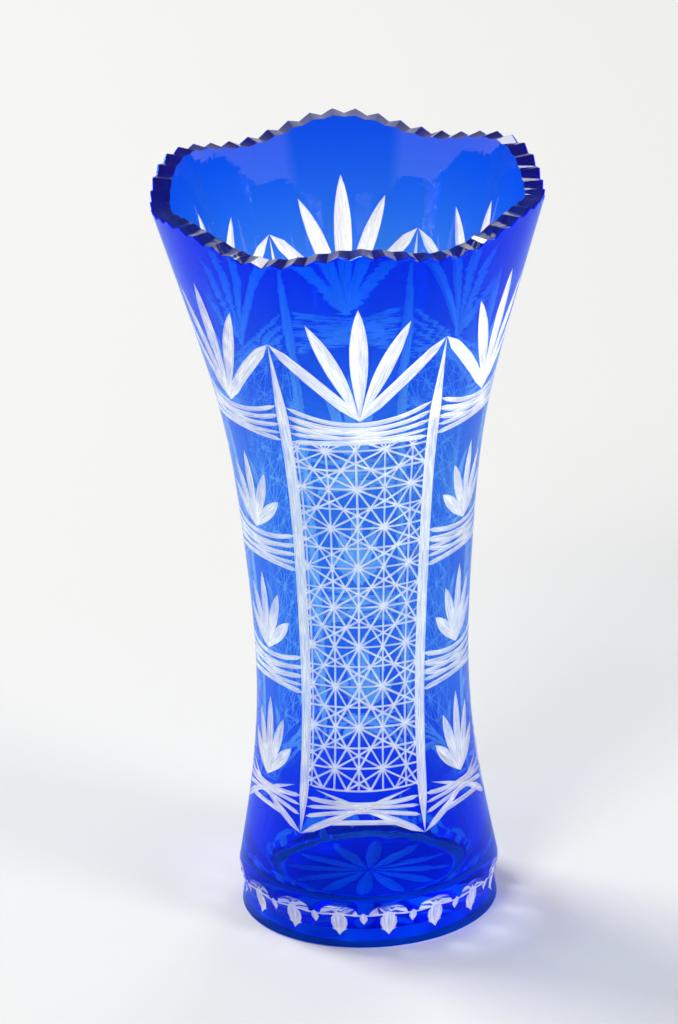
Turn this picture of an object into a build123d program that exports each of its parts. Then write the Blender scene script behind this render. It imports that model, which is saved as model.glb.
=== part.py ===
"""Cut crystal vase of cobalt blue glass cased over clear, cut through to clear.

The frame is millimetres, +Z up, with the origin at the centre of the foot on the table.
Azimuth 0 looks out along -Y, through the middle of the first star-cut panel.
"""
import os
from math import cos, pi, radians, sin, tan

from build123d import *

os.makedirs("parts", exist_ok=True)

# Whole vase
HEIGHT = 300.0
CASING = 1.5            # blue layer over the clear body, measured level
FLOOR_Z = 13.0          # inside bottom
FLOOR_R = 31.0          # flat part of it
OUTLINE = [             # radius and height of the outside, from the foot's shoulder to the rim
    (50.5, 17.0), (45.6, 45.0), (41.3, 92.0), (44.0, 150.0), (50.8, 205.0), (60.8, 245.0), (77.0, HEIGHT),
]
FLOOR_CORNER = (38.2, 16.2)  # on the arc from the floor to the wall
CAVITY = [              # radius and height of the inside, from above the floor to the rim
    (41.0, 24.0), (37.4, 45.0), (33.3, 92.0), (36.0, 150.0), (42.7, 205.0), (52.8, 245.0), (69.0, HEIGHT),
]

# Rim: six scallops, each of nine pointed teeth
SCALLOPS = 6
SCALLOP_DEPTH = 6.2
TEETH_PER_SCALLOP = 9
TOOTH_DEPTH = 2.2
NOTCH_OVERLAP = 0.05    # neighbouring notches run this far into each other

# Six panels between upright columns: star-cut ones and fan-cut ones in turn
STAR_HALF = 31.875      # half width of a star panel, degrees
FAN_HALF = 60.0 - STAR_HALF
COLUMN_WIDTH = 4.6
COLUMN_TOP = 257.0
COLUMN_FOOT = 44.5
COLUMN_TAPERS = (14.0, 28.0)  # length of a column's lower and upper point
REACH = 100.0           # a cutter this far out is clear of the vase
CLEARANCE = 5.0         # a cutter ends this far outside what it cuts

# Swags: height of the top cut at the columns and in the middle, and of the level bottom cut
SWAGS = [(229.5, 223.5, 212.5), (171.0, 168.5, 155.0), (118.5, 116.5, 102.0), (64.8, 63.0, 48.0)]

# Fans: tips as azimuth part of the half panel, height above the fan's base, and leaf width
FAN_START = 0.5         # a fan's base above the middle of its swag
TOP_FAN = [(0.0, 51.0, 7.0), (0.54, 44.0, 5.6), (1.0, 33.0, 4.6)]
LOW_FAN = [(0.0, 33.0, 4.6), (0.44, 26.5, 4.2), (0.68, 14.5, 3.8)]

# Foot: flat facets round the shoulder, a leaf cut under each, a hollow ground underneath
FACETS = 16
FOOT_R = 49.8
FOOT_WAIST = (48.6, 8.0)
FOOT_BAND = 0.5         # clear edge left under the blue
FACET_DEPTH = 0.96
FACET_TURN = 6.05       # azimuth of the first facet's middle, degrees
FACET_HEIGHT = 7.0
LEAF = (10.5, 5.6, 3.6, 12.0)  # heights of a leaf cut's tip, widest part and bottom, and its width
HOLLOW_R = 39.5         # at the table
HOLLOW_TOP_R = 35.5
SECTORS_R = 35.0        # outer radius of the blue left under the foot
HOLLOW_Z = 5.0
STAR_RAYS = 12
RAY_WIDTH = 1.3


def outline_radius(height):
    """Radius of the outside at a height, straight between the outline's points."""
    for (r0, z0), (r1, z1) in zip(OUTLINE, OUTLINE[1:]):
        if z0 <= height <= z1:
            return r0 + (r1 - r0) * (height - z0) / (z1 - z0)
    return OUTLINE[0][0]


def facing(azimuth, distance=0.0):
    """Upright plane whose normal points out of the vase at an azimuth, X level and Y up."""
    a = radians(azimuth)
    outward = Vector(sin(a), -cos(a), 0)
    return Plane(origin=outward * distance, x_dir=(cos(a), sin(a), 0), z_dir=outward)


def panels():
    """Azimuth of the middle and half width of each of the six panels."""
    return [(60.0 * i, STAR_HALF if i % 2 == 0 else FAN_HALF) for i in range(6)]


def columns():
    """Azimuth of each of the six columns."""
    return [60.0 * i + side * STAR_HALF for i in (0, 2, 4) for side in (-1, 1)]


def leaf(start, tip, width):
    """Pointed leaf from one point to another, in the sketch of the caller."""
    along = Vector(tip[0] - start[0], tip[1] - start[1])
    across = Vector(-along.Y, along.X).normalized() * width / 2
    middle = Vector(start[0], start[1]) + along * 0.6
    with BuildLine() as edge:
        ThreePointArc(start, tuple(middle + across)[:2], tip)
        ThreePointArc(tip, tuple(middle - across)[:2], start)
    make_face(edge.line.edges())


def fan_tips(fan, base_z, half):
    """Tips of a fan's leaves in its panel's plane, left to right, with each leaf's width."""
    tips = []
    for share, rise, width in fan:
        height = base_z + rise
        reach = outline_radius(height) * sin(radians(share * half))
        tips += [((side * reach, height), width) for side in ((0,) if share == 0 else (-1, 1))]
    return tips


def cut_fan(azimuth, half, fan, base_z):
    """Cut a fan's leaves out of the casing."""
    for tip, width in fan_tips(fan, base_z, half):
        with BuildSketch(facing(azimuth)) as petal:
            leaf((0, base_z), tip, width)
        extrude(petal.sketch, amount=REACH, mode=Mode.SUBTRACT)


def cut_columns(azimuths):
    """Cut upright columns, pointed at both ends, through the casing."""
    half_width = COLUMN_WIDTH / 2
    low, high = COLUMN_FOOT + COLUMN_TAPERS[0], COLUMN_TOP - COLUMN_TAPERS[1]
    with BuildSketch(*[facing(a) for a in azimuths]) as column:
        Polygon(
            (0, COLUMN_FOOT), (half_width, low), (half_width, high), (0, COLUMN_TOP),
            (-half_width, high), (-half_width, low), align=None,
        )
    extrude(column.sketch, amount=REACH, mode=Mode.SUBTRACT)


def keep_sector(azimuth, half, low, high):
    """Keep what lies within a half angle of an azimuth and between two heights."""
    corners = [(0, 0)]
    for turn in (-half, 0, half):
        a = radians(azimuth + turn)
        corners.append((REACH * sin(a), -REACH * cos(a)))
    with BuildSketch(Plane.XY.offset(low)) as sector:
        Polygon(*corners, align=None)
    extrude(sector.sketch, amount=high - low, mode=Mode.INTERSECT)


def swag_plane(azimuth, half, swag):
    """Sloping plane of a swag's top cut: low at the panel's middle, high at its columns."""
    end_z, middle_z, _ = swag
    radius = outline_radius(middle_z)
    run = radius * (1 - cos(radians(half)))
    a = radians(azimuth)
    outward = Vector(sin(a), -cos(a), 0)
    slope = (end_z - middle_z) / run
    normal = (outward * slope + Vector(0, 0, 1)).normalized()
    return Plane(origin=outward * radius + Vector(0, 0, middle_z), x_dir=(cos(a), sin(a), 0), z_dir=normal)


def cut_rim():
    """Cut the scalloped edge into teeth, one ring of six alike notches at a time."""
    pitch = 360.0 / (SCALLOPS * TEETH_PER_SCALLOP)
    half_notch = OUTLINE[-1][0] * sin(radians(pitch / 2)) + NOTCH_OVERLAP
    swing = SCALLOP_DEPTH / 2
    above = HEIGHT + CLEARANCE
    for i in range(TEETH_PER_SCALLOP):
        azimuth = (i + 0.5) * pitch
        turns = [radians(SCALLOPS * (azimuth + t * pitch)) for t in (-0.5, 0, 0.5)]
        edge = [HEIGHT - swing + swing * cos(turn) for turn in turns]
        with BuildSketch(*[facing(azimuth + 60.0 * k) for k in range(SCALLOPS)]) as notch:
            Polygon(
                (-half_notch, edge[0]), (0, edge[1] - TOOTH_DEPTH), (half_notch, edge[2]),
                (half_notch, above), (-half_notch, above), align=None,
            )
        extrude(notch.sketch, amount=REACH, mode=Mode.SUBTRACT)


# Blank of the blue casing, before any cutting: a ring 1.5 mm thick over the whole outside
with BuildPart() as casing_blank:
    with BuildSketch(Plane.XZ):
        with BuildLine():
            Polyline((FOOT_R - CASING, FOOT_BAND), (FOOT_R, FOOT_BAND), FOOT_WAIST, OUTLINE[0])
            Spline(*OUTLINE)
            Line(OUTLINE[-1], (OUTLINE[-1][0] - CASING, HEIGHT))
            Spline(*[(r - CASING, z) for r, z in reversed(OUTLINE)])
            Polyline(
                (OUTLINE[0][0] - CASING, OUTLINE[0][1]), (FOOT_WAIST[0] - CASING, FOOT_WAIST[1]),
                (FOOT_R - CASING, FOOT_BAND),
            )
        make_face()
    revolve(axis=Axis.Z)

# Clear crystal: walls, thick bottom and foot, blown in one piece
with BuildPart() as crystal_body:
    with BuildSketch(Plane.XZ):
        with BuildLine():
            Polyline(
                (0, HOLLOW_Z), (HOLLOW_TOP_R, HOLLOW_Z), (HOLLOW_R, 0), (FOOT_R - CASING, 0),
                (FOOT_R - CASING, FOOT_BAND), (FOOT_WAIST[0] - CASING, FOOT_WAIST[1]),
                (OUTLINE[0][0] - CASING, OUTLINE[0][1]),
            )
            Spline(*[(r - CASING, z) for r, z in OUTLINE])
            Line((OUTLINE[-1][0] - CASING, HEIGHT), CAVITY[-1])
            Spline(*reversed(CAVITY))
            ThreePointArc(CAVITY[0], FLOOR_CORNER, (FLOOR_R, FLOOR_Z))
            Polyline((FLOOR_R, FLOOR_Z), (0, FLOOR_Z), (0, HOLLOW_Z))
        make_face()
    revolve(axis=Axis.Z)
    cut_rim()
crystal_body.part.label = "crystal_body"
export_step(crystal_body.part, "parts/crystal_body.step")

# Blue collar: from the rim down to the zigzag of the outermost fan leaves
with BuildPart() as blue_collar:
    add(casing_blank.part)
    with BuildSketch(Plane.XY.offset(SWAGS[0][1])):
        Circle(REACH)
    extrude(amount=HEIGHT, mode=Mode.INTERSECT)
    for azimuth, half in panels():
        base = SWAGS[0][1] + FAN_START
        below = SWAGS[0][1] - CLEARANCE
        cut_fan(azimuth, half, TOP_FAN, base)
        reach = outline_radius(COLUMN_TOP) * sin(radians(half))
        with BuildSketch(facing(azimuth)):
            Polygon(
                (0, base), (reach, COLUMN_TOP), (reach, below), (-reach, below), (-reach, COLUMN_TOP),
                align=None,
            )
        extrude(amount=REACH, mode=Mode.SUBTRACT)
    cut_rim()
blue_collar.part.label = "blue_collar"
export_step(blue_collar.part, "parts/blue_collar.step")

# Two corner chips in each panel, between the outermost fan leaf, the column and the swag
for number, (azimuth, half) in enumerate(panels(), 1):
    with BuildPart() as blue_corner_chips:
        add(casing_blank.part)
        keep_sector(azimuth, half, SWAGS[0][1], COLUMN_TOP)
        with BuildSketch(swag_plane(azimuth, half, SWAGS[0])):
            Rectangle(3 * REACH, 3 * REACH)
        extrude(amount=-REACH, mode=Mode.SUBTRACT)
        base = SWAGS[0][1] + FAN_START
        reach = outline_radius(COLUMN_TOP) * sin(radians(half))
        with BuildSketch(facing(azimuth)):
            far = 2 * COLUMN_TOP - base
            Polygon((0, base), (2 * reach, far), (-2 * reach, far), align=None)
        extrude(amount=REACH, mode=Mode.SUBTRACT)
        cut_fan(azimuth, half, TOP_FAN[2:], base)
        cut_columns([azimuth - half, azimuth + half])
    name = f"blue_corner_chips_{number}"
    blue_corner_chips.part.label = name
    export_step(blue_corner_chips.part, f"parts/{name}.step")

# Three star panels, from the first swag's level bottom cut to the lowest swag's top cut
for number, azimuth in enumerate((0.0, 120.0, 240.0), 1):
    with BuildPart() as blue_star_panel:
        add(casing_blank.part)
        keep_sector(azimuth, STAR_HALF, SWAGS[3][1], SWAGS[0][2])
        with BuildSketch(swag_plane(azimuth, STAR_HALF, SWAGS[3])):
            Rectangle(3 * REACH, 3 * REACH)
        extrude(amount=-REACH, mode=Mode.SUBTRACT)
        cut_columns([azimuth - STAR_HALF, azimuth + STAR_HALF])
    name = f"blue_star_panel_{number}"
    blue_star_panel.part.label = name
    export_step(blue_star_panel.part, f"parts/{name}.step")

# Three fields down each fan panel, each with a small fan cut through it
for number, azimuth in enumerate((60.0, 180.0, 300.0), 1):
    for tier in (1, 2, 3):
        with BuildPart() as blue_fan_field:
            add(casing_blank.part)
            keep_sector(azimuth, FAN_HALF, SWAGS[tier][1], SWAGS[tier - 1][2])
            with BuildSketch(swag_plane(azimuth, FAN_HALF, SWAGS[tier])):
                Rectangle(3 * REACH, 3 * REACH)
            extrude(amount=-REACH, mode=Mode.SUBTRACT)
            cut_fan(azimuth, FAN_HALF, LOW_FAN, SWAGS[tier][1] + FAN_START)
            cut_columns([azimuth - FAN_HALF, azimuth + FAN_HALF])
        name = f"blue_fan_field_{number}_{tier}"
        blue_fan_field.part.label = name
        export_step(blue_fan_field.part, f"parts/{name}.step")

# Blue of the foot and the stem above it: faceted shoulder, leaf cuts through to clear
with BuildPart() as blue_foot:
    add(casing_blank.part)
    with BuildSketch(Plane.XY):
        Circle(REACH)
    extrude(amount=SWAGS[3][2], mode=Mode.INTERSECT)
    cut_columns(columns())
    facet_width = 2 * FOOT_R * tan(pi / FACETS)
    turns = [FACET_TURN + i * 360 / FACETS for i in range(FACETS)]
    with BuildSketch(*[facing(turn, OUTLINE[0][0] - FACET_DEPTH) for turn in turns]):
        with Locations((0, OUTLINE[0][1])):
            Rectangle(facet_width, FACET_HEIGHT)
    extrude(amount=CLEARANCE, mode=Mode.SUBTRACT)
    with BuildSketch(*[facing(turn) for turn in turns]):
        tip_z, wide_z, low_z, width = LEAF
        Polygon((-width / 2, wide_z), (0, low_z), (width / 2, wide_z), (0, tip_z), align=None)
    extrude(amount=REACH, mode=Mode.SUBTRACT)
blue_foot.part.label = "blue_foot"
export_step(blue_foot.part, "parts/blue_foot.step")

# Blue under the foot, cut by a star of twelve rays into separate sectors
with BuildPart() as blue_base_sectors:
    with BuildSketch(Plane.XY.offset(HOLLOW_Z - CASING)):
        Circle(SECTORS_R)
        with PolarLocations(0, STAR_RAYS):
            Rectangle(2 * HOLLOW_R, RAY_WIDTH, mode=Mode.SUBTRACT)
    extrude(amount=CASING)
blue_base_sectors.part.label = "blue_base_sectors"
export_step(blue_base_sectors.part, "parts/blue_base_sectors.step")
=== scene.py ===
"""Looks of the cut crystal vase: clear crystal with every cut in it, and the blue glass the cutting left.

The wall is unrolled to azimuth and height. Each cut is a V groove with a centre line and a half width
that varies along it, and the wall is triangulated with the edges and valleys of all the grooves, so that
each cut has crisp edges and flat facets. The blue lies in shallow pockets of the clear body, as inlays.
"""

import math

import bmesh
import bpy
import numpy as np
from mathutils import Matrix, Vector
from mathutils.geometry import delaunay_2d_cdt


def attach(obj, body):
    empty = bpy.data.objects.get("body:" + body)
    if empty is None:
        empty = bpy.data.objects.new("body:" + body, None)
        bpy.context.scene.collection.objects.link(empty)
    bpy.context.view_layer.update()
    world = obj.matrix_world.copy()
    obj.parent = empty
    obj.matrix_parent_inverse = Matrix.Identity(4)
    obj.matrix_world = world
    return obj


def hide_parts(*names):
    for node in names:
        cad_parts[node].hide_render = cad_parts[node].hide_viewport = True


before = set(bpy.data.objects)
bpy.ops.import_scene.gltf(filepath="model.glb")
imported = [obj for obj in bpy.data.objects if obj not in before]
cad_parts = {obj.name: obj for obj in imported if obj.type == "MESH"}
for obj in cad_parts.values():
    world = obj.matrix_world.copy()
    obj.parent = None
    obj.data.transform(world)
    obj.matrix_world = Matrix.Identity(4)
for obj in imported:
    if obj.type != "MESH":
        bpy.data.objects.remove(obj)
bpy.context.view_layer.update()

# ---- Sizes, millimetres and degrees ------------------------------------------------------------------
MM = 0.001
HEIGHT = 300.0
OUTLINE = [             # height and radius of the outside, from the foot's shoulder to the rim
    (17.0, 50.5), (45.0, 45.6), (92.0, 41.3), (150.0, 44.0), (205.0, 50.8), (245.0, 60.8), (HEIGHT, 77.0),
]
FOOT_OUTLINE = [(0.0, 49.8), (8.0, 48.6), (12.6, 49.5), (14.5, 50.4), (17.0, 50.5)]
CAVITY = [              # radius and height of the inside, from the middle of the floor to the rim
    (0, 13.0), (20.0, 13.0), (33.5, 13.5), (39.3, 16.6), (41.2, 22.5), (40.6, 30.0), (37.4, 45.0),
    (33.3, 92.0), (36.0, 150.0), (42.8, 205.0), (53.0, 245.0), (69.4, HEIGHT),
]
FLOOR_SPANS = 4         # how many of the cavity's spans are the floor and its corner
MOUTH_Z = 282.0         # the inside is bent above here, to meet the rim
CASING = 0.6            # depth of the pockets that hold the blue
GAP = 0.02              # between a pocket's floor and the blue in it

THIRD = 120.0           # the pattern repeats every third of a turn
STAR_HALF = 31.875      # half width of a star-cut panel
FAN_CENTRE = 60.0       # azimuth of the middle of a fan-cut panel
FAN_HALF = FAN_CENTRE - STAR_HALF
SPLIT_Z = 40.0          # plain blue here, where the foot's own pattern takes over
RING_STEP = 1.875
LEAN = -5.2             # how far the hand-cut pattern drifts round by the foot
LEAN_TOP = 190.0

SCALLOPS = 6
SCALLOP_SWING = 3.1
TEETH = 54
TOOTH = 360.0 / TEETH
TOOTH_DEPTH = 1.9       # at the outside of the wall
TOOTH_INSIDE = 0.7      # and at the inside
RIM_LOW = 286.0         # all of the rim's edge is above this

FACETS = 16
FACET = 360.0 / FACETS
FACET_FLAT = 49.8       # distance of a shoulder facet from the axis at the ridge under it
FACET_TILT = 0.096      # how much it stands out for each millimetre above
RIDGE_Z = 14.5
FACET_LOW = 13.9        # facets reach down to here
FOOT_EDGE = 0.5

HOLLOW_Z = 5.0
HOLLOW_R = 36.0
UNDERSIDE = [           # radius and height from under the foot's edge over the ground ring to the hollow
    (44.0, 0.0), (40.4, 0.0), (39.6, 0.6), (39.0, 2.4), (38.2, 4.2), (37.2, 4.85), (HOLLOW_R, HOLLOW_Z),
]
STAR_RAYS = 12
RAY_HALF = 3.0
RAY_ENDS = (0.6, 34.5)  # distances from the axis at which a ray starts and ends
RAY_TURN = 8.0

COLUMN_TOP = 257.0
COLUMN_FOOT = 44.5
COLUMN_STEPS = np.arange(48.0, 252.0, 5.0)

OUTSIDE = -9.0          # margin of a point that is far from every cut


def curve_through(xs, ys):
    """Natural cubic spline: the second derivatives solve a three-banded system, and each span is a cubic."""
    xs, ys = np.array(xs, float), np.array(ys, float)
    step = np.diff(xs)
    count = len(xs)
    bands = np.eye(count)
    target = np.zeros(count)
    inner = np.arange(1, count - 1)
    bands[inner, inner - 1] = step[:-1]
    bands[inner, inner] = 2 * (step[:-1] + step[1:])
    bands[inner, inner + 1] = step[1:]
    target[inner] = 6 * (np.diff(ys)[1:] / step[1:] - np.diff(ys)[:-1] / step[:-1])
    bend = np.linalg.solve(bands, target)

    def value(x):
        i = np.clip(np.searchsorted(xs, x) - 1, 0, count - 2)
        a = (xs[i + 1] - x) / step[i]
        b = (x - xs[i]) / step[i]
        cubic = ((a**3 - a) * bend[i] + (b**3 - b) * bend[i + 1]) * step[i] ** 2 / 6
        return a * ys[i] + b * ys[i + 1] + cubic

    return value


upper_outline = curve_through(*zip(*OUTLINE))


def radius(z):
    """Radius of the uncut outside: straight runs up the foot, then the outline's spline."""
    z = np.asarray(z, float)
    foot = np.interp(z, *zip(*FOOT_OUTLINE))
    shoulder_z = OUTLINE[0][0]
    return np.where(z < shoulder_z, foot, upper_outline(np.maximum(z, shoulder_z)))


def lean(z):
    """Degrees that the pattern has drifted at a height: a power curve from the top of the lean downwards."""
    share = np.clip((LEAN_TOP - np.asarray(z, float)) / (LEAN_TOP - SPLIT_Z), 0, 1)
    return LEAN * share**1.5


def on_wall(azimuth, z, depth):
    """Point at a depth under the outside: the outline's point moved inwards along its normal, in metres."""
    tilt = (radius(z + 0.05) - radius(z - 0.05)) / 0.1
    length = np.sqrt(1 + tilt**2)
    r = radius(z) - depth / length
    turn = np.radians(azimuth + lean(z))
    up = z + depth * tilt / length
    return np.stack([r * np.sin(turn), -r * np.cos(turn), up], -1) * MM


def under_base(x, y, depth):
    """Point at a depth above the hollow underside, in metres: x is mirrored, as it is seen from below."""
    return np.stack([-x, y, HOLLOW_Z + depth], -1) * MM


def crest(azimuth):
    """Height of the scalloped edge: a cosine with one wave for each scallop round the rim."""
    return HEIGHT - SCALLOP_SWING + SCALLOP_SWING * np.cos(np.radians(SCALLOPS * azimuth))


RIM_TURNS = np.arange(TEETH * 4 + 1) * TOOTH / 4 - STAR_HALF


def rim_height(azimuth, depth=TOOTH_DEPTH):
    """Height of the toothed edge: the crest less a triangle wave, straight between quarter teeth."""
    phase = np.abs((RIM_TURNS + STAR_HALF) / TOOTH % 1 - 0.5) * 2
    height = crest(RIM_TURNS) - depth * (1 - phase)
    return np.interp((azimuth + STAR_HALF) % 360 - STAR_HALF, RIM_TURNS, height)


# ---- Grooves ---------------------------------------------------------------------------------------------
class Groove:
    """A V cut: centre line points across and up, half widths in millimetres, and depth per half width."""

    def __init__(self, across, up, half, steepness, scale):
        self.across, self.up = np.array(across, float), np.array(up, float)
        self.half = np.array(half, float)
        self.steepness = steepness
        self.scale = scale

    def sides(self):
        """Left edge, valley and right edge: the centre line moved by its half width along its normal."""
        s = self.scale(self.up)
        run, rise = np.gradient(self.across) * s, np.gradient(self.up)
        length = np.hypot(run, rise)
        dx, dz = -rise / length * self.half / s, run / length * self.half
        return [np.stack([self.across + k * dx, self.up + k * dz], -1) for k in (1, 0, -1)]

    def margin(self, across, up):
        """How far inside the groove's edges points lie: half width less distance from the centre line."""
        best = np.full(across.shape, OUTSIDE)
        s = self.scale(up)
        for i in range(len(self.up) - 1):
            ex, ez = (self.across[i + 1] - self.across[i]) * s, self.up[i + 1] - self.up[i]
            px, pz = (across - self.across[i]) * s, up - self.up[i]
            t = np.clip((px * ex + pz * ez) / (ex**2 + ez**2), 0, 1)
            half = self.half[i] + (self.half[i + 1] - self.half[i]) * t
            best = np.maximum(best, half - np.hypot(px - t * ex, pz - t * ez))
        return best

    def coordinates(self, across, up):
        """Distances along the groove and to its side, in millimetres, from its nearest stretch."""
        nearest = np.full(across.shape, np.inf)
        along, aside = np.zeros(across.shape), np.zeros(across.shape)
        s = self.scale(up)
        start = 0.0
        for i in range(len(self.up) - 1):
            ex, ez = (self.across[i + 1] - self.across[i]) * s, self.up[i + 1] - self.up[i]
            px, pz = (across - self.across[i]) * s, up - self.up[i]
            length = np.hypot(ex, ez)
            t = np.clip((px * ex + pz * ez) / length**2, 0, 1)
            distance = np.hypot(px - t * ex, pz - t * ez)
            near = distance < nearest
            along = np.where(near, start + t * length, along)
            aside = np.where(near, (ex * pz - ez * px) / length, aside)
            nearest = np.minimum(nearest, distance)
            start += length.mean()
        return along, aside


def wall_scale(z):
    """Millimetres along the wall for each degree of azimuth."""
    return np.radians(1) * radius(z)


def flat_scale(y):
    """Scale of a flat sheet, which is in millimetres both ways."""
    return np.ones_like(np.asarray(y, float))


def straight(start, end, half, steepness, shares=(0, 1), scale=wall_scale):
    """Straight groove whose half widths are given at shares of its length."""
    steps = np.linspace(0, 1, max(2, int(math.dist(start, end) / 5) + 1))
    steps = np.unique(np.concatenate([steps, shares]))
    return Groove(
        start[0] + (end[0] - start[0]) * steps, start[1] + (end[1] - start[1]) * steps,
        np.interp(steps, shares, half), steepness, scale,
    )


def leaf(start, tip, half, steepness=0.62, scale=wall_scale):
    """Pointed leaf, widest past its middle: the half width follows a skewed arch along it."""
    steps = np.linspace(0, 1, 13)
    arch = np.minimum(1, np.sin(np.pi * steps**1.25) ** 0.8 * 1.02)
    return Groove(
        start[0] + (tip[0] - start[0]) * steps, start[1] + (tip[1] - start[1]) * steps,
        half * arch, steepness, scale,
    )


def sagging(left, middle, right, half, steepness=0.8):
    """Mitre cut that sags between two columns: a parabola, pointed at its ends."""
    steps = np.linspace(0, 1, 17)
    bow = 4 * steps * (1 - steps)
    across = left[0] + (right[0] - left[0]) * steps
    ends = left[1] + (right[1] - left[1]) * steps
    chord = (left[1] + right[1]) / 2
    widths = half * np.minimum(1, 3.4 * bow**0.9)
    return Groove(across, ends + bow * (middle - chord), widths, steepness, wall_scale)


def column(azimuth):
    """Upright mitre, slightly wider upwards and pointed at both ends."""
    z = np.concatenate([[COLUMN_FOOT], COLUMN_STEPS, [COLUMN_TOP]])
    half = np.interp(z, [COLUMN_FOOT, 60, 120, 225, COLUMN_TOP], [0, 2.0, 2.2, 2.5, 0])
    return Groove(np.full_like(z, azimuth), z, half, 0.62, wall_scale)


# Strands of a swag: places of the left end, middle and right end between its top and bottom, and half width
SWAG_STRANDS = [
    (0, 0, 0, 1.05), (0.25, 0.27, 0.3, 0.95), (0.5, 0.42, 0.25, 0.78), (0.3, 0.52, 0.52, 0.78),
    (0.75, 0.7, 0.55, 0.85), (0.55, 0.8, 0.78, 0.78), (1, 1, 1, 1.1),
]
SWAG_GAP = 1.9          # from a column's middle to a swag's end

# Lowest swag: a wing as shares of the half panel, heights and half widths
WING = np.array([
    (1.0, 44.6, 0.0), (0.8, 47.6, 1.3), (0.55, 51.0, 1.5), (0.25, 54.6, 1.0), (0.0, 57.0, 0.8),
    (-0.35, 60.2, 0.8), (-0.8, 63.6, 0.0),
])
# Its level strands as share of the half panel, height of the ends and of the middle, and half width
LOW_STRANDS = [(0.58, 50.6, 51.6, 1.0), (0.94, 56.0, 57.6, 0.75), (0.94, 59.8, 58.8, 0.95)]


def swag(centre, half_panel, ends, middles):
    """Bundle of sagging mitres, some of which cross, with blue slivers left between them."""
    reach = half_panel - SWAG_GAP
    cuts = []
    for left, middle, right, half in SWAG_STRANDS:
        left_z, right_z = (ends[0] + (ends[1] - ends[0]) * share for share in (left, right))
        middle_z = middles[0] + (middles[1] - middles[0]) * middle
        cuts.append(sagging((centre - reach, left_z), middle_z, (centre + reach, right_z), half))
    return cuts


def low_swag(centre, half_panel):
    """Lowest swag: two wings that rise from the column's feet and cross, with lens cuts between them."""
    shares, z, half = WING.T
    cuts = []
    for side in (-1, 1):
        cuts.append(Groove(centre + side * half_panel * shares, z, half, 0.7, wall_scale))
        outer, inner = centre - side * half_panel * 0.94, centre + side * half_panel * 0.3
        cuts.append(sagging((outer, 52.0), 55.4, (inner, 55.6), 0.85))
    for share, end_z, middle_z, half_width in LOW_STRANDS:
        reach = half_panel * share
        cuts.append(sagging((centre - reach, end_z), middle_z, (centre + reach, end_z), half_width))
    return cuts


def top_fan(centre, half_panel):
    """Five leaves under the rim, and two long ones out to the tops of the columns."""
    base = (centre, 224.3)
    spread = half_panel / STAR_HALF
    cuts = [leaf(base, (centre, 275.5), 3.6)]
    for side in (-1, 1):
        cuts.append(leaf(base, (centre + side * 17.3 * spread, 268.0), 3.1))
        tip = (centre + side * half_panel, COLUMN_TOP)
        cuts.append(straight(base, tip, (0.5, 2.3, 2.6, 2.2, 0), 0.62, (0, 0.2, 0.6, 0.85, 1)))
    return cuts


def low_fan(centre, base_z):
    """Five short leaves, the middle one tall."""
    base = (centre, base_z)
    cuts = [leaf(base, (centre, base_z + 33), 2.4)]
    for side in (-1, 1):
        cuts.append(leaf(base, (centre + side * 12.0, base_z + 26), 2.5))
        cuts.append(leaf(base, (centre + side * 18.5, base_z + 15), 2.5))
    return cuts


# Star cutting: hubs in staggered rows, and every line through them at multiples of thirty degrees
HUB_ROWS = 9
HUB_TOP = 210.4
HUB_RISE = 17.16
HUB_STEP = 12.65        # half the distance between hubs in a row
STAR_SHIFT = -2.2
STAR_TOP = 213.4
STAR_FLOOR = 64.6
LINE_HALF = 0.43
SHORTEST_LINE = 4.0


def star_lines(rng):
    """Fine lines of a star panel: rows, uprights and four slanting families, each a little off by hand."""
    left, right = -STAR_HALF + 0.8, STAR_HALF - 0.8
    starts = [((0, HUB_TOP - HUB_RISE * i / 2), (1, 0)) for i in range(2 * HUB_ROWS - 1)]
    starts += [((HUB_STEP * i, HUB_TOP), (0, -1)) for i in range(-2, 3)]
    for side in (-1, 1):
        starts += [((HUB_STEP * i, HUB_TOP), (side * HUB_STEP, -HUB_RISE)) for i in range(-12, 13)]
        starts += [((HUB_STEP * i, HUB_TOP), (3 * side * HUB_STEP, -HUB_RISE)) for i in range(-31, 32, 2)]
    cuts = []
    for (x, z), (dx, dz) in starts:
        x, z = x + STAR_SHIFT + rng.normal(0, 0.16), z + rng.normal(0, 0.14)
        spans = []
        if dx:
            spans.append(sorted(((left - x) / dx, (right - x) / dx)))
        if dz:
            spans.append(sorted(((STAR_TOP - z) / dz, (STAR_FLOOR - z) / dz)))
        limits = [max(s[0] for s in spans), min(s[1] for s in spans)]
        if limits[1] - limits[0] < SHORTEST_LINE / math.hypot(dx, dz):
            continue
        ends = [(x + dx * t, z + dz * t) for t in limits]
        half = LINE_HALF * rng.uniform(0.82, 1.12)
        cuts.append(straight(ends[0], ends[1], (half, half), 1.2))
    return cuts


# Swags as heights of the top and bottom strand at the columns, and of the two in the middle
TOP_SWAG = ((228.6, 212.9), (222.3, 214.1))
FAN_PANEL_SWAGS = [((170.8, 155.6), (167.2, 157.0)), ((118.0, 102.6), (114.8, 104.2))]
FAN_BASES = (168.8, 116.4, 62.6)


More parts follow.
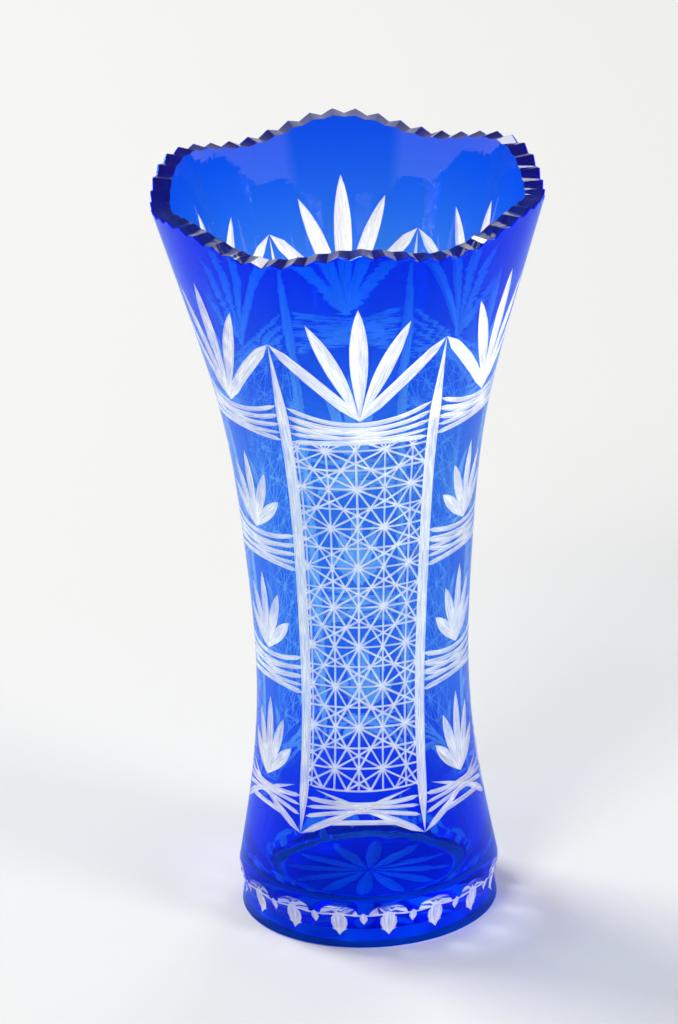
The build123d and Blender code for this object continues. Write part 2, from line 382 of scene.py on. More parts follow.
def wall_grooves():
    """Every groove of one third of the wall, with the columns on its borders."""
    rng = np.random.default_rng(7)
    cuts = [column(a) for a in (-STAR_HALF, STAR_HALF, THIRD - STAR_HALF)]
    for centre, half in ((0.0, STAR_HALF), (FAN_CENTRE, FAN_HALF)):
        cuts += top_fan(centre, half)
        cuts += swag(centre, half, *TOP_SWAG)
        cuts += low_swag(centre, half)
    for (ends, middles), base in zip(FAN_PANEL_SWAGS, FAN_BASES):
        cuts += swag(FAN_CENTRE, FAN_HALF, ends, middles)
        cuts += low_fan(FAN_CENTRE, base)
    cuts += low_fan(FAN_CENTRE, FAN_BASES[-1])
    cuts.append(sagging((-STAR_HALF + 2, 65.0), 64.2, (STAR_HALF - 2, 65.0), 0.4, 1.2))
    return cuts + star_lines(rng)


# Leaf cuts of the foot: half widths at shares of their length, then each one's azimuth, bottom and half width
LEAF_PLACES = (0, 0.15, 0.3, 0.5, 0.7, 0.85, 1)
LEAF_SHAPE = (0.25, 0.72, 0.95, 1.0, 0.78, 0.42, 0)
LEAF_TOP = 15.4
FOOT_LEAVES = [(0.0, 10.0, 1.5), (FACET, 10.0, 1.5), (FACET / 2, 5.4, 3.3)]


def foot_grooves():
    """Leaf cuts of one facet's width of the foot: a large one under its facet, small ones on its borders."""
    cuts = []
    for azimuth, low, half in FOOT_LEAVES:
        widths = tuple(half * share for share in LEAF_SHAPE)
        cuts.append(straight((azimuth, LEAF_TOP), (azimuth, low), widths, 0.5, LEAF_PLACES))
    line_z = RIDGE_Z - 0.1
    cuts.append(straight((-2.0, line_z), (FACET + 2.0, line_z), (0.4, 0.4), 0.6))
    return cuts


def base_grooves():
    """Star of twelve pointed rays ground through the blue under the foot."""
    cuts = []
    for turn in np.radians(np.arange(STAR_RAYS) * 360 / STAR_RAYS + RAY_TURN):
        start, tip = ((r * math.cos(turn), r * math.sin(turn)) for r in RAY_ENDS)
        cuts.append(leaf(start, tip, RAY_HALF, 0.5, flat_scale))
    return cuts


# ---- Unrolled sheet ----------------------------------------------------------------------------------------
LEAST_MARGIN = 0.004    # a triangle this far inside a cut's edges is part of the cut
LEAST_DEPTH = 0.012     # anything shallower is left uncut
GRID_GAP = 0.45         # free points stay this far from every cut
STREAK_SPACING = 17.0   # keeps the streaks of one groove unlike the next one's


def doubled_area(at, corners):
    """Twice the signed area of triangles: the cross product of two of their edges."""
    a, b, c = (at[corners[:, i]] for i in range(3))
    return (b[:, 0] - a[:, 0]) * (c[:, 1] - a[:, 1]) - (b[:, 1] - a[:, 1]) * (c[:, 0] - a[:, 0])


class Sheet:
    """A stretch of surface triangulated with all its grooves, and the depth of the cutting at each point."""

    def __init__(self, grooves, borders, grid, keep, squash, flat=None, flat_line=None):
        self.grooves, self.flat = grooves, flat
        chains = [side for g in grooves for side in g.sides()]
        for g in grooves:
            left, middle, right = g.sides()
            chains += [np.stack([left[i], middle[i], right[i]]) for i in (0, -1) if g.half[i] > 0.01]
        chains += borders + ([flat_line] if flat_line is not None else [])
        free = self.margin(grid[:, 0], grid[:, 1]) < -GRID_GAP
        self.triangulate(chains, grid[free], keep, squash)
        self.depth = np.maximum(0, self.deepest(self.at[:, 0], self.at[:, 1]))
        self.depth[self.depth < LEAST_DEPTH] = 0
        self.middle = self.at[self.corners].mean(1)
        self.cut = self.margin(self.middle[:, 0], self.middle[:, 1]) > LEAST_MARGIN
        self.find_streaks()
        self.join()

    def triangulate(self, chains, free, keep, squash):
        """Constrained Delaunay triangles over the chains' edges and the free points, inside the borders."""
        edges = []
        total = 0
        for chain in chains:
            edges += [(i, i + 1) for i in range(total, total + len(chain) - 1)]
            total += len(chain)
        points = np.concatenate(chains + [free]) * [squash, 1]
        found = delaunay_2d_cdt([Vector(p) for p in points.tolist()], edges, [], 0, 1e-4, False)
        at = np.array([v[:] for v in found[0]]) / [squash, 1]
        corners = np.array([f[:] for f in found[2]])
        middle = at[corners].mean(1)
        corners = corners[keep(middle[:, 0], middle[:, 1])]
        used, inverse = np.unique(corners, return_inverse=True)
        self.at, self.corners = at[used], inverse.reshape(corners.shape)
        area = doubled_area(self.at, self.corners)
        whole = np.abs(area) > 1e-9
        self.corners, area = self.corners[whole], area[whole]
        self.corners[area < 0] = self.corners[area < 0][:, ::-1]

    def find_streaks(self):
        """Which groove's wheel ground each triangle, and its corners' places along and across that groove."""
        across, up = self.middle.T
        deepest = np.full(len(up), LEAST_MARGIN)
        wheel = np.full(len(up), -1)
        for i, g in enumerate(self.grooves):
            depth = g.margin(across, up) * g.steepness
            wheel = np.where(depth > deepest, i, wheel)
            deepest = np.maximum(deepest, depth)
        self.ground = self.cut & (wheel >= 0)
        self.streaks = np.zeros((len(up), 3, 2))
        for i, g in enumerate(self.grooves):
            mine = self.ground & (wheel == i)
            if mine.any():
                corners = self.at[self.corners[mine]]
                along, aside = g.coordinates(corners[..., 0], corners[..., 1])
                self.streaks[mine] = np.stack([along, aside + STREAK_SPACING * i], -1)

    def margin(self, across, up):
        """How far inside the nearest cut's edges points lie."""
        best = np.full(across.shape, OUTSIDE)
        for g in self.grooves:
            best = np.maximum(best, g.margin(across, up))
        if self.flat is not None:
            best = np.maximum(best, self.flat(across, up))
        return best

    def deepest(self, across, up):
        """Depth of the deepest cut at points: each groove's margin times its steepness."""
        best = np.zeros(across.shape)
        for g in self.grooves:
            best = np.maximum(best, g.margin(across, up) * g.steepness)
        if self.flat is not None:
            best = np.maximum(best, self.flat(across, up))
        return best

    def join(self):
        """Pair the triangles on each edge, and find the centre of each one's island of uncut ones."""
        count = len(self.corners)
        pairs = np.concatenate([self.corners[:, [i, (i + 1) % 3]] for i in range(3)])
        owner = np.tile(np.arange(count), 3)
        key = np.sort(pairs, 1) @ [len(self.at), 1]
        order = np.argsort(key, kind="stable")
        key, pairs, owner = key[order], pairs[order], owner[order]
        same = np.flatnonzero(key[:-1] == key[1:])
        shared = np.stack([owner[same], owner[same + 1]], 1)
        alone = np.ones(len(key), bool)
        alone[same] = alone[same + 1] = False
        self.open_edges, self.open_owner = pairs[alone], owner[alone]
        cut_a, cut_b = self.cut[owner[same]], self.cut[owner[same + 1]]
        step = cut_a != cut_b
        blue_side = np.where(cut_a[step], same[step] + 1, same[step])
        self.step_edges, self.step_owner = pairs[blue_side], owner[blue_side]
        links = shared[~cut_a & ~cut_b]
        island = np.arange(count)
        while True:
            low = np.minimum(island[links[:, 0]], island[links[:, 1]])
            before = island.copy()
            np.minimum.at(island, links[:, 0], low)
            np.minimum.at(island, links[:, 1], low)
            island = island[island]
            if np.array_equal(before, island):
                break
        area = np.abs(doubled_area(self.at, self.corners))
        weight = np.bincount(island, area, count)
        weight[weight == 0] = 1
        centre = [np.bincount(island, area * self.middle[:, k], count) / weight for k in (0, 1)]
        self.centre = np.stack(centre, 1)[island]


class Solid:
    """Growing lists of points, faces and material numbers of one piece."""

    def __init__(self):
        self.points, self.faces, self.marks, self.streaks, self.total = [], [], [], [], 0

    def add(self, points, faces, mark, streaks=None):
        """Adds faces, as rows of point numbers, with one material number and their corners' streak places."""
        if len(faces):
            self.points.append(points)
            self.faces += (faces + self.total).tolist()
            self.marks += [mark] * len(faces)
            self.streaks.append(np.zeros(faces.size * 2) if streaks is None else streaks.ravel())
            self.total += len(points)

    def mesh(self, name, materials, sharp=12.0):
        """Welds the points into a closed mesh and marks the edges between facets sharp."""
        data = bpy.data.meshes.new(name)
        data.from_pydata(np.concatenate(self.points).tolist(), [], self.faces)
        data.polygons.foreach_set("material_index", self.marks)
        data.uv_layers.new(name="streaks").uv.foreach_set("vector", np.concatenate(self.streaks))
        work = bmesh.new()
        work.from_mesh(data)
        bmesh.ops.remove_doubles(work, verts=work.verts, dist=1.5e-6)
        bmesh.ops.dissolve_degenerate(work, edges=work.edges, dist=1e-7)
        work.to_mesh(data)
        work.free()
        for material in materials:
            data.materials.append(material)
        data.shade_smooth()
        data.set_sharp_from_angle(angle=math.radians(sharp))
        piece = bpy.data.objects.new(name, data)
        bpy.context.scene.collection.objects.link(piece)
        return piece


CLEAR_FACE, HIDDEN_FACE, CUT_FACE, RIM_FACE = range(4)      # material numbers of the clear body
BLUE_FACE, INNER_FACE = 0, 1        # material numbers of a blue piece


def turned(points, degrees):
    """Points turned about the vase's axis."""
    a = math.radians(degrees)
    spin = np.array([[math.cos(a), math.sin(a), 0], [-math.sin(a), math.cos(a), 0], [0, 0, 1]])
    return points @ spin


def add_body(solid, sheet, place, turn):
    """Clear side of a sheet: groove facets at their depth, pocket floors, and the pockets' low walls."""
    high = turned(place(sheet.at[:, 0], sheet.at[:, 1], sheet.depth), turn)
    low = turned(place(sheet.at[:, 0], sheet.at[:, 1], np.full(len(sheet.at), CASING + GAP)), turn)
    solid.add(high, sheet.corners[sheet.ground], CUT_FACE, sheet.streaks[sheet.ground])
    solid.add(high, sheet.corners[sheet.cut & ~sheet.ground], CLEAR_FACE)
    solid.add(low, sheet.corners[~sheet.cut], HIDDEN_FACE)
    a, b = sheet.step_edges[:, 0], sheet.step_edges[:, 1]
    n = len(sheet.at)
    walls = np.stack([b + n, a + n, a, b], 1)
    solid.add(np.concatenate([high, low]), walls, HIDDEN_FACE)


def walls_down(edges, n):
    """Quads from top edges to the same edges underneath, whose points are n further on."""
    return np.stack([edges[:, 1], edges[:, 0], edges[:, 0] + n, edges[:, 1] + n], 1)


def add_blue(solid, sheet, place, turn, chosen, is_edge):
    """Blue side of chosen triangles: top, underside and walls, of which those at an open edge show."""
    chosen = chosen & ~sheet.cut
    n = len(sheet.at)
    top = turned(place(sheet.at[:, 0], sheet.at[:, 1], np.zeros(n)), turn)
    low = turned(place(sheet.at[:, 0], sheet.at[:, 1], np.full(n, CASING)), turn)
    both = np.concatenate([top, low])
    solid.add(both, sheet.corners[chosen], BLUE_FACE)
    solid.add(both, sheet.corners[chosen][:, ::-1] + n, INNER_FACE)
    solid.add(both, walls_down(sheet.step_edges[chosen[sheet.step_owner]], n), INNER_FACE)
    edges = sheet.open_edges[chosen[sheet.open_owner]]
    edges = edges[is_edge(sheet.at[edges[:, 0], 1]) & is_edge(sheet.at[edges[:, 1], 1])]
    solid.add(both, walls_down(edges, n), BLUE_FACE)


def grid_points(low_x, high_x, step_x, low_z, high_z, step_z):
    """Staggered grid of free points, so that long triangles follow the curve of the wall."""
    xs, zs = np.arange(low_x, high_x, step_x), np.arange(low_z, high_z, step_z)
    x, z = np.meshgrid(xs, zs)
    x = x + (np.arange(len(zs)) % 2 * step_x / 2)[:, None]
    return np.stack([x.ravel(), z.ravel()], -1)


def wall_sheet():
    """One third of the wall, from the split above the foot to the toothed rim."""
    low_x, high_x = -STAR_HALF, THIRD - STAR_HALF
    rim_x = RIM_TURNS[RIM_TURNS < high_x + 0.01]
    ring_x = np.arange(low_x, high_x + 0.01, RING_STEP)
    side_z = np.concatenate([[SPLIT_Z, COLUMN_FOOT], COLUMN_STEPS, [COLUMN_TOP], np.arange(262, 290, 5.0)])
    side_z = np.append(side_z, rim_height(np.array([low_x]))[0])
    borders = [
        np.stack([rim_x, rim_height(rim_x)], -1),
        np.stack([ring_x, np.full_like(ring_x, SPLIT_Z)], -1),
        np.stack([np.full_like(side_z, low_x), side_z], -1),
        np.stack([np.full_like(side_z, high_x), side_z], -1),
    ]
    grid = grid_points(low_x + 2, high_x - 1.5, 3.0, SPLIT_Z + 4, 288, 4.0)

    def keep(x, z):
        return (x > low_x) & (x < high_x) & (z > SPLIT_Z) & (z < rim_height(x))

    return Sheet(wall_grooves(), borders, grid, keep, 0.8)


def facet_flat(azimuth, z):
    """Depth of the flat facet of a facet's width: how far the wall stands out past its plane."""
    plane = FACET_FLAT + FACET_TILT * (z - RIDGE_Z)
    depth = radius(z) * np.cos(np.radians(azimuth - FACET / 2)) - plane
    return np.where(z > FACET_LOW, depth, OUTSIDE)


def facet_line():
    """Closed outline of a facet's plane on the wall: where the radius times a cosine equals its distance."""
    levels = np.linspace(9, 24, 3001)
    ratio = (FACET_FLAT + FACET_TILT * (levels - RIDGE_Z)) / radius(levels)
    widest = levels[np.argmin(ratio)]
    reach = math.degrees(math.acos(ratio.min())) * 0.999
    across = reach * np.sin(np.linspace(-np.pi / 2, np.pi / 2, 17))
    wanted = np.cos(np.radians(across))
    below, above = levels <= widest, levels >= widest
    low_z = np.interp(wanted, ratio[below][::-1], levels[below][::-1])
    high_z = np.interp(wanted, ratio[above], levels[above])
    line = np.concatenate([np.stack([across, low_z], -1), np.stack([across, high_z], -1)[::-1]])
    return np.concatenate([line, line[:1]]) + [FACET / 2, 0]


def foot_sheet():
    """One facet's width of the foot, from its bottom edge to the split."""
    ring_x = np.arange(0, FACET + 0.01, RING_STEP)
    bends = [z for z, _ in FOOT_OUTLINE[1:-1]]
    side_z = np.array([
        FOOT_EDGE, 3.0, 5.6, 8.0, 11.0, 12.6, RIDGE_Z, 15.2, 17.0, 20.0, 24.0, 28.0, 32.0, 36.0, SPLIT_Z,
    ])
    borders = [np.stack([ring_x, np.full_like(ring_x, z)], -1) for z in (FOOT_EDGE, SPLIT_Z, *bends[::-1])]
    borders += [np.stack([np.full_like(side_z, x), side_z], -1) for x in (0.0, FACET)]
    grid = np.concatenate([
        grid_points(1.2, FACET - 1.0, RING_STEP, FOOT_EDGE + 1.5, 14, 2.0),
        grid_points(1.2, FACET - 1.0, RING_STEP, 16.5, SPLIT_Z - 1, 2.5),
    ])

    def keep(x, z):
        return (x > 0) & (x < FACET) & (z > FOOT_EDGE) & (z < SPLIT_Z)

    return Sheet(foot_grooves(), borders, grid, keep, 0.85, facet_flat, facet_line())


def base_sheet():
    """Disc under the foot, inside the ground ring."""
    turns = np.radians(np.arange(0, 360.01, RING_STEP) + LEAN)
    ring = np.stack([-np.sin(turns), -np.cos(turns)], -1) * HOLLOW_R
    grid = grid_points(-HOLLOW_R, HOLLOW_R, 4.0, -HOLLOW_R, HOLLOW_R, 4.0)
    grid = grid[np.hypot(grid[:, 0], grid[:, 1]) < HOLLOW_R - 1.5]

    def keep(x, y):
        return np.hypot(x, y) < HOLLOW_R

    return Sheet(base_grooves(), [ring], grid, keep, 1.0)


def revolved(rows, turns, flip=False):
    """Grid of quads: rows of radii and heights, each turned to every azimuth and closed round the axis."""
    r, z = rows
    a = np.radians(turns)[None, :]
    points = np.stack([r * np.sin(a), -r * np.cos(a), z * np.ones_like(a)], -1) * MM
    m, n = points.shape[:2]
    i, j = np.meshgrid(np.arange(m - 1), np.arange(n), indexing="ij")
    k = (j + 1) % n
    quads = np.stack([i * n + j, i * n + k, (i + 1) * n + k, (i + 1) * n + j], -1).reshape(-1, 4)
    return points.reshape(-1, 3), quads[:, ::-1] if flip else quads


def add_inside(solid):
    """Cavity wall, from its floor to the toothed rim, and the rim's facets between inside and outside."""
    turns = RIM_TURNS[:-1]
    path = np.array(CAVITY)
    along = np.concatenate([[0], np.cumsum(np.hypot(*np.diff(path, axis=0).T))])
    corner = along[FLOOR_SPANS]
    steps = np.concatenate([np.linspace(0, corner, 26)[1:], np.linspace(corner, along[-1], 60)[1:]])
    r, z = curve_through(along, path[:, 0])(steps), curve_through(along, path[:, 1])(steps)
    top, inner_top = rim_height(turns), rim_height(turns, TOOTH_INSIDE)
    share = np.clip((z - MOUTH_Z) / (HEIGHT - MOUTH_Z), 0, 1)[:, None]
    heights = np.where(share > 0, MOUTH_Z + share * (inner_top[None, :] - MOUTH_Z), z[:, None])
    radii = np.interp(heights, z, r)
    points, quads = revolved((radii, heights), turns, flip=True)
    centre = np.array([[0, 0, CAVITY[0][1] * MM]])
    n = len(turns)
    fan = np.stack([np.full(n, len(points)), (np.arange(n) + 1) % n, np.arange(n)], -1)
    solid.add(points, quads, CLEAR_FACE)
    solid.add(np.concatenate([points, centre]), fan[:, ::-1], CLEAR_FACE)
    outer = on_wall(turns, top, np.full(n, CASING + GAP))
    inner = points[-n:]
    j = np.arange(n)
    k = (j + 1) % n
    solid.add(np.concatenate([outer, inner]), np.stack([j, k, k + n, j + n], -1), RIM_FACE)


def add_underside(solid):
    """Ground ring that the vase stands on, between the foot's edge and the hollow."""
    turns = np.arange(0, 360, RING_STEP) + LEAN
    edge = on_wall(np.array([0.0]), np.array([FOOT_EDGE]), np.array([CASING + GAP]))[0] / MM
    edge_r = float(np.hypot(edge[0], edge[1]))
    rows = np.array([(edge_r, edge[2]), (edge_r - 0.3, 0.0), *UNDERSIDE])
    r = rows[:, 0][:, None] * np.ones(len(turns))
    z = rows[:, 1][:, None] * np.ones(len(turns))
    points, quads = revolved((r, z), turns, flip=True)
    solid.add(points, quads, CUT_FACE)


# ---- Materials ---------------------------------------------------------------------------------------------
class Value:
    """A socket of a shader tree; a product of values adds a Math node."""

    def __init__(self, tree, socket):
        self.tree, self.socket = tree, socket

    def __mul__(self, other):
        return self.tree.node("ShaderNodeMath", {"operation": "MULTIPLY"}, {0: self, 1: other})

    __rmul__ = __mul__


class Tree:
    """A material's or world's node tree, with one way to add a node."""

    def __init__(self, owner):
        owner.use_nodes = True
        self.nodes, self.links = owner.node_tree.nodes, owner.node_tree.links
        self.nodes.clear()

    def node(self, kind, settings=None, inputs=None, output=0):
        """New node: its settings first, then the values or links of its sockets."""
        node = self.nodes.new(kind)
        for name, value in (settings or {}).items():
            if name == "stops":
                ramp = node.color_ramp
                while len(ramp.elements) < len(value):
                    ramp.elements.new(0.5)
                for element, (place, colour) in zip(ramp.elements, value):
                    element.position, element.color = place, (*colour, 1)
            else:
                setattr(node, name, value)
        for name, value in (inputs or {}).items():
            if isinstance(value, Value):
                self.links.new(value.socket, node.inputs[name])
            else:
                node.inputs[name].default_value = value
        return Value(self, node.outputs[output]) if node.outputs else None

    def out(self, surface, kind="ShaderNodeOutputMaterial"):
        """Joins the surface to the output."""
        self.node(kind, {}, {"Surface": surface})


# Share of light that one layer of the casing lets through where its blue is deepest and where it is palest
DEEP_LAYER = (0.0003, 0.08, 0.95)
PALE_LAYER = (0.14, 0.44, 0.96)
# How pale the casing is at shares of the vase's height
PALENESS = [(0.0, 0.0), (0.06, 0.0), (0.2, 0.4), (0.3, 0.9), (0.66, 1.0), (0.78, 0.7), (0.9, 0.3), (1.0, 0.0)]
BLUE_SHEEN = (0.0, 0.12, 1.0)       # tint of what the blue glass reflects head on
BLUE_BODY = (0.0, 0.002, 0.8)       # what the blue itself scatters
BODY_SHARE = 0.08
GLASS_IOR = 1.53
OBJECT_PLACE = 3        # the Object output of a Texture Coordinate node
Y_PART, Z_PART = 1, 2   # outputs of a Separate XYZ node
GROUND_WHITE = (0.98, 0.97, 0.85, 1)


def crossed(layer, power):
    """Tint for a face that takes a power of a layer's share of light."""
    return (*(share**power for share in layer), 1)


def grey_ramp(tree, share, stops):
    """Grey that runs straight between stops of a share."""
    colours = [(place, (grey,) * 3) for place, grey in stops]
    return tree.node("ShaderNodeValToRGB", {"stops": colours}, {"Fac": share})


def paleness(tree):
    """How pale the casing is at a point, from its height."""
    place = tree.node("ShaderNodeTexCoord", output=OBJECT_PLACE)
    height = tree.node("ShaderNodeSeparateXYZ", {}, {"Vector": place}, Z_PART)
    return grey_ramp(tree, height * (1 / (HEIGHT * MM)), PALENESS)


def ripple(tree):
    """Normal of a fire-polished wall: faint level ripples, as where glass was worked on the turn."""
    place = tree.node("ShaderNodeTexCoord", output=OBJECT_PLACE)
    level = tree.node("ShaderNodeMapping", {}, {"Vector": place, "Scale": (60.0, 60.0, 420.0)})
    waves = tree.node("ShaderNodeTexNoise", {}, {
        "Vector": level, "Scale": 1.0, "Detail": 2.0, "Roughness": 0.5,
    })
    return tree.node("ShaderNodeBump", {}, {"Strength": 1.0, "Distance": 0.00003, "Height": waves})


def crystal_glass():
    """Polished lead crystal, inside the vase and on the foot's facets."""
    material = bpy.data.materials.new("clear_crystal")
    tree = Tree(material)
    tree.out(tree.node("ShaderNodeBsdfPrincipled", {}, {
        "Base Color": (1.0, 1.0, 1.0, 1), "Roughness": 0.0, "IOR": GLASS_IOR, "Transmission Weight": 1.0,
        "Normal": ripple(tree),
    }))
    return material


def rim_glass_painted_shade():
    """Facets of the rim: polished glass whose near-black colour is painted shade, for the dark look down
    through the whole wall.
    """
    material = bpy.data.materials.new("rim_facets_painted_shade")
    tree = Tree(material)
    # Near-black base colour: painted shade on the rim's facets, not a colour of the clear glass.
    tree.out(tree.node("ShaderNodeBsdfPrincipled", {}, {
        "Base Color": (0.04, 0.04, 0.05, 1), "Roughness": 0.03, "IOR": GLASS_IOR, "Transmission Weight": 1.0,
        "Normal": ripple(tree),
    }))
    return material


def ground_glass():
    """Facets of the cuts: satin white from the wheel, with clearer streaks along each cut."""
    material = bpy.data.materials.new("ground_cut")
    tree = Tree(material)
    place = tree.node("ShaderNodeUVMap", {"uv_map": "streaks"})
    fine = tree.node("ShaderNodeMapping", {}, {"Vector": place, "Scale": (0.12, 2.4, 1.0)})
    streaks = tree.node("ShaderNodeTexNoise", {}, {
        "Vector": fine, "Scale": 1.0, "Detail": 3.0, "Roughness": 0.6,
    })
    clearer = grey_ramp(tree, streaks, [(0.3, 0.06), (0.7, 0.55)])
    normal = tree.node("ShaderNodeBump", {}, {"Strength": 0.5, "Distance": 0.0001, "Height": streaks})
    satin = tree.node("ShaderNodeBsdfPrincipled", {}, {
        "Base Color": GROUND_WHITE, "Roughness": 0.3, "IOR": GLASS_IOR, "Normal": normal,
    })
    lit_through = tree.node("ShaderNodeBsdfTranslucent", {}, {"Color": GROUND_WHITE, "Normal": normal})
    frosted = tree.node("ShaderNodeMixShader", {}, {0: 0.5, 1: satin, 2: lit_through})
    glass = tree.node("ShaderNodeBsdfPrincipled", {}, {
        "Base Color": (1.0, 1.0, 1.0, 1), "Roughness": 0.06, "IOR": GLASS_IOR, "Transmission Weight": 1.0,
        "Normal": normal,
    })
    tree.out(tree.node("ShaderNodeMixShader", {}, {0: clearer, 1: frosted, 2: glass}))
    return material


def blue_glass():
    """Polished blue casing: half of its tint is taken where light crosses its outside."""
    material = bpy.data.materials.new("cobalt_casing")
    tree = Tree(material)
    normal = ripple(tree)
    pale = paleness(tree)
    layers = []
    for layer in (DEEP_LAYER, PALE_LAYER):
        glass = tree.node("ShaderNodeBsdfPrincipled", {}, {
            "Base Color": crossed(layer, 1), "Roughness": 0.0, "IOR": GLASS_IOR, "Transmission Weight": 1.0,
            "Specular Tint": (*BLUE_SHEEN, 1), "Normal": normal,
        })
        tinted = tree.node("ShaderNodeBsdfGlass", {}, {
            "Color": crossed(layer, 0.5), "Roughness": 0.0, "IOR": GLASS_IOR, "Normal": normal,
        })
        layers.append(tree.node("ShaderNodeMixShader", {}, {0: 0.65, 1: glass, 2: tinted}))
    scatter = tree.node("ShaderNodeBsdfPrincipled", {}, {
        "Base Color": (*BLUE_BODY, 1), "Roughness": 0.5, "Specular IOR Level": 0.0, "Normal": normal,
    })
    polished = tree.node("ShaderNodeMixShader", {}, {0: pale, 1: layers[0], 2: layers[1]})
    tree.out(tree.node("ShaderNodeMixShader", {}, {0: BODY_SHARE, 1: polished, 2: scatter}))
    return material


def buried_face():
    """Face inside the wall that bends nothing, as the two layers are fused in one."""
    material = bpy.data.materials.new("buried_face")
    tree = Tree(material)
    tree.out(tree.node("ShaderNodeBsdfTransparent", {}, {"Color": (1, 1, 1, 1)}))
    return material


def casing_inner_face():
    """Inner side of the casing: fused to the clear glass, it takes the other half of the tint."""
    material = bpy.data.materials.new("casing_inner_face")
    tree = Tree(material)
    deep = tree.node("ShaderNodeBsdfTransparent", {}, {"Color": crossed(DEEP_LAYER, 0.5)})
    pale = tree.node("ShaderNodeBsdfTransparent", {}, {"Color": crossed(PALE_LAYER, 0.5)})
    tree.out(tree.node("ShaderNodeMixShader", {}, {0: paleness(tree), 1: deep, 2: pale}))
    return material


clear = crystal_glass()
ground = ground_glass()
rim = rim_glass_painted_shade()
blue = blue_glass()
buried = buried_face()
blue_inner = casing_inner_face()


# ---- Pieces ------------------------------------------------------------------------------------------------
FOOT_TOP = 48.5             # heights between which an island's centre lies tell which piece it is
FAN_FIELD_FLOORS = (165, 112)
CHIPS_FLOOR = 221
FAN_LINE = (226, 31)        # height of the outermost leaves in the middle, and how much they rise to a column


def piece_of(sheet):
    """Which piece each triangle's island belongs to, from the island's centre."""
    x, z = sheet.centre[:, 0], sheet.centre[:, 1]
    in_star = x < STAR_HALF
    across = np.abs(np.where(in_star, x, x - FAN_CENTRE)) / np.where(in_star, STAR_HALF, FAN_HALF)
    tiers = np.where(z > FAN_FIELD_FLOORS[0], "fan_1", np.where(z > FAN_FIELD_FLOORS[1], "fan_2", "fan_3"))
    names = np.where(in_star, "star", tiers)
    names = np.where(z > CHIPS_FLOOR, np.where(in_star, "chips_star", "chips_fan"), names)
    names = np.where(z > FAN_LINE[0] + FAN_LINE[1] * across, "collar", names)
    return np.where(z < FOOT_TOP, "foot", names)


def at_rim(z):
    """Open edges of the blue that show at the rim."""
    return z > RIM_LOW


def at_foot(z):
    """Open edges of the blue that show at the foot's bottom."""
    return z < FOOT_EDGE + 0.01


def everywhere(y):
    """Every open edge, as on the disc under the foot."""
    return np.full(np.shape(y), True)


def crystal_body_cut(wall, foot, base):
    """Clear body: every sheet's cuts and pockets, the inside, the rim and the ground ring."""
    body = Solid()
    for k in range(3):
        add_body(body, wall, on_wall, k * THIRD)
    for k in range(FACETS):
        add_body(body, foot, on_wall, k * FACET)
    add_body(body, base, under_base, 0)
    add_inside(body)
    add_underside(body)
    crystal = body.mesh("crystal_body_cut", [clear, buried, ground, rim])
    crystal.visible_shadow = False      # clear glass hardly shades what is behind it
    return crystal


def blue_piece(name, parts):
    """Piece of casing from parts: a sheet, its place and turn, its triangles, and its edges that show."""
    solid = Solid()
    for sheet, place, turn, chosen, is_edge in parts:
        add_blue(solid, sheet, place, turn, chosen, is_edge)
    return solid.mesh(name, [blue, blue_inner])


def make_pieces():
    """Clear body and every blue piece, each riding the one body of the vase."""
    wall, foot, base = wall_sheet(), foot_sheet(), base_sheet()
    owner = piece_of(wall)
    crystal = crystal_body_cut(wall, foot, base)
    cased = []

    def cut_from_wall(name, node, island, thirds):
        parts = [(wall, on_wall, k * THIRD, owner == island, at_rim) for k in thirds]
        cased.append((blue_piece(name, parts), node))

    for k in range(3):
        cut_from_wall(f"star_panel_glass_{k + 1}", f"blue_star_panel_{k + 1}", "star", [k])
        for tier in (1, 2, 3):
            place = f"{k + 1}_{tier}"
            cut_from_wall(f"fan_field_glass_{place}", f"blue_fan_field_{place}", f"fan_{tier}", [k])
        for number, island in ((2 * k + 1, "chips_star"), (2 * k + 2, "chips_fan")):
            cut_from_wall(f"corner_chips_glass_{number}", f"blue_corner_chips_{number}", island, [k])
    cut_from_wall("collar_glass", "blue_collar", "collar", range(3))
    stem = [(wall, on_wall, k * THIRD, owner == "foot", at_foot) for k in range(3)]
    facets = [(foot, on_wall, k * FACET, np.ones(len(foot.corners), bool), at_foot) for k in range(FACETS)]
    cased.append((blue_piece("foot_glass", stem + facets), "blue_foot"))
    disc = (base, under_base, 0, np.ones(len(base.corners), bool), everywhere)
    cased.append((blue_piece("base_star_glass", [disc]), "blue_base_sectors"))

    for piece, node in [(crystal, "crystal_body"), *cased]:
        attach(piece, "root")
        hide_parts(node)


make_pieces()


# ---- Floor, light and camera -------------------------------------------------------------------------------
FLOOR_REACH = 8.0       # metres from the vase to the floor's edges


def floor_material():
    """Plain pale matt floor."""
    material = bpy.data.materials.new("pale_floor")
    tree = Tree(material)
    tree.out(tree.node("ShaderNodeBsdfPrincipled", {}, {"Base Color": (0.5, 0.5, 0.49, 1), "Roughness": 0.7}))
    return material


def make_floor():
    """One square, level with the table under the foot."""
    data = bpy.data.meshes.new("floor")
    corners = [(x * FLOOR_REACH, y * FLOOR_REACH, 0) for x, y in ((-1, -1), (1, -1), (1, 1), (-1, 1))]
    data.from_pydata(corners, [], [(0, 1, 2, 3)])
    data.materials.append(floor_material())
    floor = bpy.data.objects.new("floor", data)
    bpy.context.scene.collection.objects.link(floor)


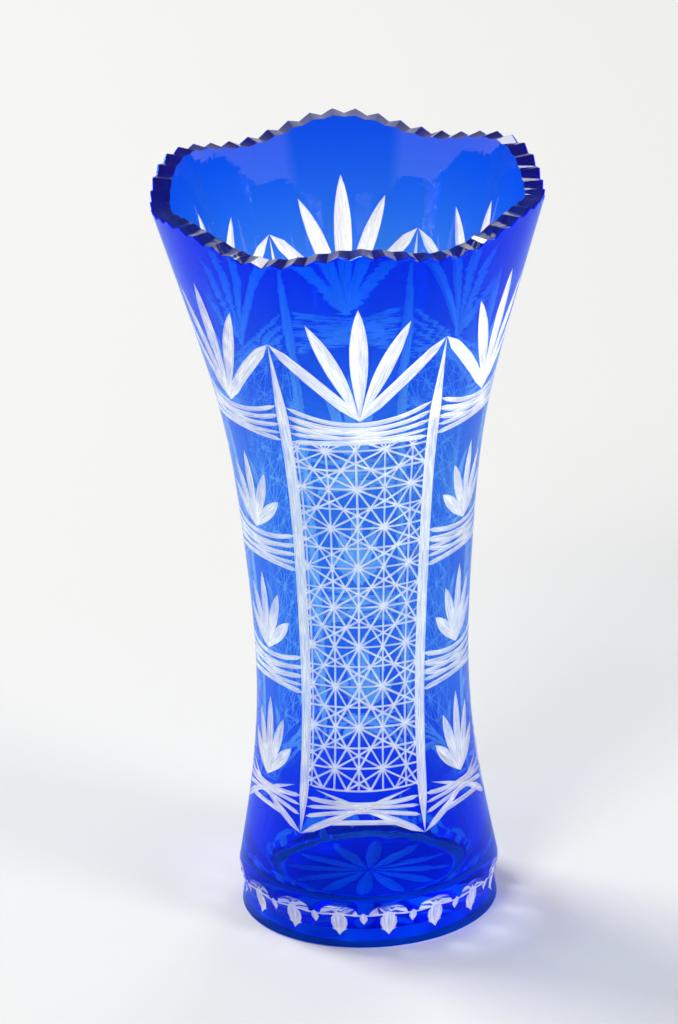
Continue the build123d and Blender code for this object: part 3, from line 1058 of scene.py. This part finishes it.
def soft_room():
    """Pale room light: bright at the walls, dimmer overhead, and dark on the side that faces the front."""
    world = bpy.data.worlds.new("soft_room")
    bpy.context.scene.world = world
    tree = Tree(world)
    direction = tree.node("ShaderNodeTexCoord")
    to_back = tree.node("ShaderNodeSeparateXYZ", {}, {"Vector": direction}, Y_PART)
    upward = tree.node("ShaderNodeSeparateXYZ", {}, {"Vector": direction}, Z_PART)
    walls = grey_ramp(tree, upward, [(0.0, 1.0), (0.06, 0.9), (0.3, 0.8), (0.5, 0.15)])
    dark_side = grey_ramp(tree, to_back * -1, [(0.76, 1.0), (0.84, 0.12)])
    glow = tree.node("ShaderNodeBackground", {}, {
        "Color": (1.0, 1.0, 0.985, 1), "Strength": walls * dark_side,
    })
    tree.out(glow, "ShaderNodeOutputWorld")


def area_light(name, place, aim, size, power):
    """Square soft light at a place, turned towards a point, all in metres."""
    data = bpy.data.lights.new(name, "AREA")
    data.shape, data.size, data.energy = "SQUARE", size, power
    light = bpy.data.objects.new(name, data)
    bpy.context.scene.collection.objects.link(light)
    light.location = place
    light.rotation_euler = (Vector(aim) - Vector(place)).to_track_quat("-Z", "Y").to_euler()


CAMERA_TURN = -2.08     # degrees round the axis from the middle of the first star panel
CAMERA_DISTANCE, CAMERA_HEIGHT = 3.5, 1.685
PITCH, YAW, ROLL = 23.501, -0.117, -1.889
FOCAL_LENGTH = 348.4    # millimetres, on a sensor 36 mm long
SENSOR = 36.0


def place_camera():
    """Camera in front of the vase, looking down on it, turned with the pattern and rolled a little."""
    pitch, yaw, roll = (math.radians(v) for v in (PITCH, YAW, ROLL))
    forward = Vector((math.sin(yaw) * math.cos(pitch), math.cos(yaw) * math.cos(pitch), -math.sin(pitch)))
    level = forward.cross(Vector((0, 0, 1))).normalized()
    upright = level.cross(forward)
    right = math.cos(roll) * level + math.sin(roll) * upright
    up = -math.sin(roll) * level + math.cos(roll) * upright
    spin = Matrix.Rotation(math.radians(CAMERA_TURN), 3, "Z")
    axes = Matrix((spin @ right, spin @ up, spin @ -forward)).transposed().to_4x4()
    axes.translation = spin @ Vector((0, -CAMERA_DISTANCE, CAMERA_HEIGHT))
    data = bpy.data.cameras.new("camera")
    data.lens, data.sensor_width = FOCAL_LENGTH, SENSOR
    camera = bpy.data.objects.new("camera", data)
    bpy.context.scene.collection.objects.link(camera)
    camera.matrix_world = axes
    bpy.context.scene.camera = camera


make_floor()
soft_room()
area_light("window", (-2.0, 1.7, 2.6), (0, 0, 0.1), 1.4, 150)
area_light("front_left_softbox", (-1.3, -2.2, 2.5), (0, 0, 0.15), 0.9, 62)
area_light("front_right_softbox", (2.2, -1.6, 2.0), (0, 0, 0.15), 0.9, 50)
area_light("back_lamp", (0.74, 1.59, 1.94), (0, 0, 0.3), 0.7, 14)
place_camera()

scene = bpy.context.scene
scene.view_settings.view_transform = "Standard"
scene.cycles.max_bounces = 32
scene.cycles.transmission_bounces = 32
scene.cycles.glossy_bounces = 12
scene.cycles.transparent_max_bounces = 64
scene.cycles.caustics_refractive = True
